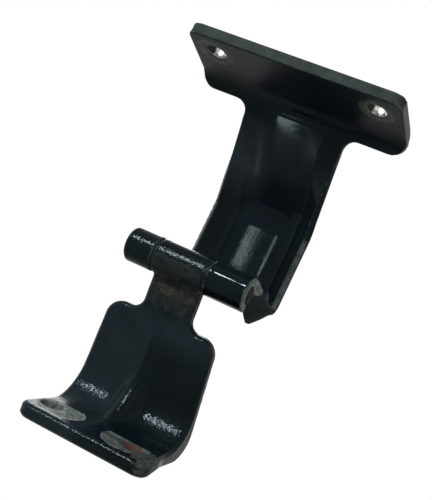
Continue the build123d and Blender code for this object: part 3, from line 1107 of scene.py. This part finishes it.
class DoorLeaf(Dressed):
    """The thick leaf that bolts to the door, with its eye round the pin."""

    node = "door_leaf"
    slot = "black_paint_door"
    body = Body.DOOR
    sizes = DoorSizes()
    wear = DoorWear()

    def material(self) -> Material:
        """Paint the leaf, with painted light on one side of its body, washer prints, red paint at
        a hole and rust at the eye.

        Returns:
            The material.
        """
        surface = self.paint.start("black_paint_door", self.effects)
        self.paint_lit_half(surface)
        self.paint.rub_edges(surface, self.wear.rub_start)
        self.stain_neck(surface)
        self.mark_foot(surface)
        return self.paint.finish(surface)

    def paint_lit_half(self, surface: Surface) -> None:
        """Lay a paler film on the body as painted light, further down only on the lit side of the
        bead.

        Args:
            surface: The material.
        """
        graph, sizes = surface.graph, self.sizes
        half = graph.number(
            Blend.MOST,
            surface.past(UP, sizes.lit_half),
            surface.past(TO_PILLAR, sizes.crease_from),
        )
        front = surface.past(LEAF_FRONT, sizes.front_face)
        under = surface.past(FROM_PILLAR, sizes.under_neck)
        surface.film(graph.times(half, front, under), self.wear.dust)

    def stain_neck(self, surface: Surface) -> None:
        """Lay grime over the eye and the neck, and rust where they join.

        Args:
            surface: The material.
        """
        graph = surface.graph
        for spot in self.sizes.films:
            surface.film(surface.within(spot), self.wear.grime)
        rust = graph.group(self.effects.rust, Vector=surface.where)
        stain = graph.times(surface.within(self.sizes.neck_rust), rust.outputs["Mask"])
        surface.lay(stain, rust.outputs["Colour"], self.wear.rust_rough)
        crust = graph.times(stain, rust.outputs["Height"])
        surface.height = graph.number(Blend.PLUS, surface.height, crust)

    def mark_foot(self, surface: Surface) -> None:
        """Add the washer prints, the worn corner, the holes and the red paint.

        Args:
            surface: The material.
        """
        graph, sizes, wear = surface.graph, self.sizes, self.wear
        patchy = graph.cloud(surface.where, wear.rim_patches)
        for spot, bare, film in zip(sizes.prints, sizes.bared, wear.washer_prints):
            made = spot.place(graph, self.effects, surface.where)
            strip = surface.within(bare)
            surface.film(graph.times(made.outputs["Mask"], strip), film)
            surface.film(graph.times(made.outputs["Rim"], patchy, strip), wear.print_rim)
        surface.film(surface.within(sizes.worn_corner), wear.worn_corner)
        for spot in sizes.holes:
            surface.film(surface.within(spot), wear.hole_dirt_and_shade)
        surface.film(surface.within(sizes.red_paint), wear.red_paint)


@dataclass(frozen=True)
class PinSizes(MeshSizes):
    """Mesh of the pin, its bare end and the groove under its head."""

    voxel: float = 0.35 * MM
    rounds: int = 5
    barrel_share: float = 0.3
    bare_end: Span = (20.0 * MM, 21.0 * MM)
    groove_from: Span = (20.2 * MM, 20.8 * MM)
    groove_to: Span = (-22.4 * MM, -21.7 * MM)


@dataclass(frozen=True)
class PinWear:
    """Worn end of the pin, and painted light in the groove under its head."""

    rub_start: float = 0.7
    worn: Film = Film(0.9, (0.003, 0.004, 0.004), (0.036, 0.037, 0.033), 1100.0)
    painted_groove_light: Film = Film(0.6, (0.026, 0.034, 0.033))


class HingePin(Dressed):
    """The pin with its long head, pressed into the rolled knuckle."""

    node = "hinge_pin"
    slot = "pin_steel"
    body = Body.PILLAR
    sizes = PinSizes()
    wear = PinWear()

    def material(self) -> Material:
        """Paint the head, with painted light in the groove under it, and leave the lower end
        bare.

        Returns:
            The material.
        """
        sizes, wear = self.sizes, self.wear
        surface = self.paint.start("pin_black", self.effects)
        self.paint.rub_edges(surface, wear.rub_start)
        surface.film(surface.past(DOWN, sizes.bare_end), wear.worn)
        # Painted light: a paler band that lifts the shade in the groove between the head and the
        # eye.
        above = surface.past(UP, sizes.groove_from)
        below = surface.past(DOWN, sizes.groove_to)
        surface.film(surface.graph.times(above, below), wear.painted_groove_light)
        return self.paint.finish(surface)


@dataclass(frozen=True)
class Bronze:
    """Dull bronze of the two collared bushes, whose rims were painted over."""

    slot: str = "bush_bronze"
    nodes: tuple[str, ...] = ("bush_upper", "bush_lower")
    clean: Triple = (0.16, 0.105, 0.05)
    dirty: Triple = (0.05, 0.038, 0.022)
    tarnish: Cloud = Cloud(900.0, 5.0, low=0.45, high=0.7)
    rough: float = 0.5
    metal: float = 0.8
    painted_from: float = 6.4 * MM
    painted_fade: float = 0.3 * MM
    # Painted light: a paler tone in clouds over the painted collar rims, which lifts the shade in
    # the grooves between the parts.
    dust: Cloud = Cloud(700.0, 4.0, low=0.2, high=0.5)
    painted_groove_light: Film = Film(0.5, (0.009, 0.013, 0.013))

    def dress(self, paint: BlackPaint, effects: Effects) -> None:
        """Put the bronze on both bushes, with paint over the rims of their collars and painted
        light on those rims.

        Args:
            paint: The black paint.
            effects: The shared groups.
        """
        surface = paint.start("bush_bronze", effects)
        graph = surface.graph
        # Painted light over the painted rims of the collars.
        surface.film(graph.cloud(surface.where, self.dust), self.painted_groove_light)
        share = graph.cloud(surface.where, self.tarnish)
        bronze = graph.colour(share, rgba(self.dirty), rgba(self.clean))
        flat = graph.vector("MULTIPLY", surface.where, (1.0, 1.0, 0.0))
        span = graph.vector("DISTANCE", flat.outputs[0], (PIN_X, PIN_Y, 0.0))
        inside = graph.number(Blend.MINUS, self.painted_from, span.outputs[1])
        bare = graph.ramp(inside, 0.0, self.painted_fade)
        surface.lay(bare, bronze, self.rough, self.metal)
        material = paint.finish(surface)
        for name in self.nodes:
            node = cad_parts[name]
            node.data.materials.clear()
            node.data.materials.append(material)
            log.info("%s: bronze", name)


@dataclass(frozen=True)
class Lamp:
    """A soft lamp that shows as a highlight at one place of the hinge."""

    name: str
    shows_at: Triple
    toward: Triple
    wide: float
    tall: float
    radiance: float
    distance: float = 0.9

    def hang(self) -> None:
        """Hang the lamp and aim it at the place where its highlight shows."""
        light = bpy.data.lights.new(self.name, "AREA")
        is_round = self.wide == self.tall
        light.shape = "ELLIPSE" if is_round else "RECTANGLE"
        light.size = self.wide
        light.size_y = self.tall
        area = self.wide * self.tall * (np.pi / 4.0 if is_round else 1.0)
        light.energy = self.radiance * np.pi * area
        lamp = bpy.data.objects.new(self.name, light)
        bpy.context.scene.collection.objects.link(lamp)
        toward = Vector(self.toward).normalized()
        lamp.location = Vector(self.shows_at) + toward * self.distance
        lamp.rotation_euler = toward.to_track_quat("Z", "Y").to_euler()


@dataclass(frozen=True)
class Studio:
    """Pale room: floor, soft lamps, white surroundings and the camera."""

    lamps: tuple[Lamp, ...] = (
        Lamp("key", (-0.0047, -0.0982, 0.0058), (0.805, 0.465, 0.372), 0.13, 0.13, 230.0),
        Lamp("window", (-0.0606, -0.0681, 0.0053), (0.943, -0.028, 0.332), 0.048, 0.014, 28.0),
        Lamp("side", (-0.0284, -0.0118, 0.0047), (0.550, -0.764, 0.338), 0.030, 0.030, 26.0),
        Lamp("back", (-0.0300, -0.0900, 0.0000), (-0.72, 0.50, 0.48), 0.5, 0.5, 3.0, 1.1),
        Lamp("wall", (-0.0500, -0.0400, 0.0130), (0.585, -0.810, 0.010), 0.10, 0.10, 9.0),
    )
    floor_z: float = -0.30
    floor_size: float = 12.0
    floor_dim: Triple = (0.80, 0.80, 0.80)
    floor_pale: Triple = (0.84, 0.84, 0.84)
    floor_cloud: Cloud = Cloud(3.0)
    floor_glow: float = 0.35
    white: Triple = (1.0, 1.0, 1.0)
    ambient: float = 0.4
    eye: Triple = (0.41938478, -0.19780900, -0.16953037)
    right: Triple = (-0.21319641, 0.46951839, -0.85679622)
    up: Triple = (0.36509818, 0.85171222, 0.37588510)
    lens: float = 79.0912
    sensor: float = 36.0
    sees: Span = (0.01, 100.0)

    def build(self) -> None:
        """Set up the whole room."""
        self.lay_floor()
        self.light_world()
        for lamp in self.lamps:
            lamp.hang()
        self.place_camera()
        bpy.context.scene.view_settings.view_transform = "Standard"

    def lay_floor(self) -> None:
        """Lay the pale floor well below the hinge, which its mount holds up."""
        bpy.ops.object.select_all(action="DESELECT")
        bpy.ops.mesh.primitive_plane_add(size=self.floor_size, location=(0, 0, self.floor_z))
        floor = bpy.context.active_object
        floor.name = "floor"
        material = bpy.data.materials.new("floor_pale")
        material.use_nodes = True
        material.node_tree.nodes.clear()
        graph = Graph(material.node_tree)
        where = graph.node("TexCoord").outputs["Object"]
        share = graph.noise(where, self.floor_cloud)
        tone = graph.colour(share, rgba(self.floor_dim), rgba(self.floor_pale))
        matt = graph.fill(graph.node("BsdfDiffuse"), Color=tone)
        shown = graph.level(self.seen(graph), 0.0, self.floor_glow)
        glow = graph.fill(graph.node("Emission"), Color=rgba(self.white), Strength=shown)
        both = graph.node("AddShader")
        graph.feed(both.inputs[0], matt.outputs["BSDF"])
        graph.feed(both.inputs[1], glow.outputs["Emission"])
        graph.fill(graph.node("OutputMaterial"), Surface=both.outputs["Shader"])
        floor.data.materials.append(material)

    @staticmethod
    def seen(graph: Graph) -> Socket:
        """Tell rays of the camera, of reflections and of glass from those that only light.

        Args:
            graph: The graph of the world or of a material.

        Returns:
            The socket that is 1 for what is seen and 0 for what only lights.
        """
        path = graph.node("LightPath")
        seen = path.outputs["Is Camera Ray"]
        for ray in ("Is Glossy Ray", "Is Transmission Ray"):
            seen = graph.number(Blend.MOST, seen, path.outputs[ray])
        return seen

    def light_world(self) -> None:
        """Make the surroundings white to the eye and in reflections, and a soft grey light."""
        world = bpy.data.worlds.new("pale_room")
        world.use_nodes = True
        bpy.context.scene.world = world
        graph = Graph(world.node_tree)
        world.node_tree.nodes.clear()
        shown = graph.level(self.seen(graph), self.ambient, 1.0)
        glow = graph.fill(graph.node("Background"), Color=rgba(self.white), Strength=shown)
        graph.fill(graph.node("OutputWorld"), Surface=glow.outputs["Background"])

    def place_camera(self) -> None:
        """Put the camera where the hinge was photographed from."""
        data = bpy.data.cameras.new("camera")
        data.sensor_fit = "AUTO"
        data.sensor_width = self.sensor
        data.lens = self.lens
        data.clip_start, data.clip_end = self.sees
        data.dof.use_dof = False
        camera = bpy.data.objects.new("camera", data)
        bpy.context.scene.collection.objects.link(camera)
        right, up = Vector(self.right), Vector(self.up)
        turn = Matrix((right, up, right.cross(up))).transposed().to_4x4()
        camera.matrix_world = Matrix.Translation(self.eye) @ turn
        bpy.context.scene.camera = camera


def main() -> None:
    """Build the hinge piece by piece, then the room round it."""
    logging.basicConfig(level=logging.INFO)
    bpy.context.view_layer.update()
    effects = Effects()
    smooth = BlackPaint(gloss=0.04, bump=0.006 * MM)
    rough = BlackPaint(bump=0.2 * MM)
    PillarLeaf(smooth, effects).build()
    DoorLeaf(rough, effects).build()
    HingePin(rough, effects).build()
    Bronze().dress(rough, effects)
    Studio().build()


if __name__ == "__main__":
    main()
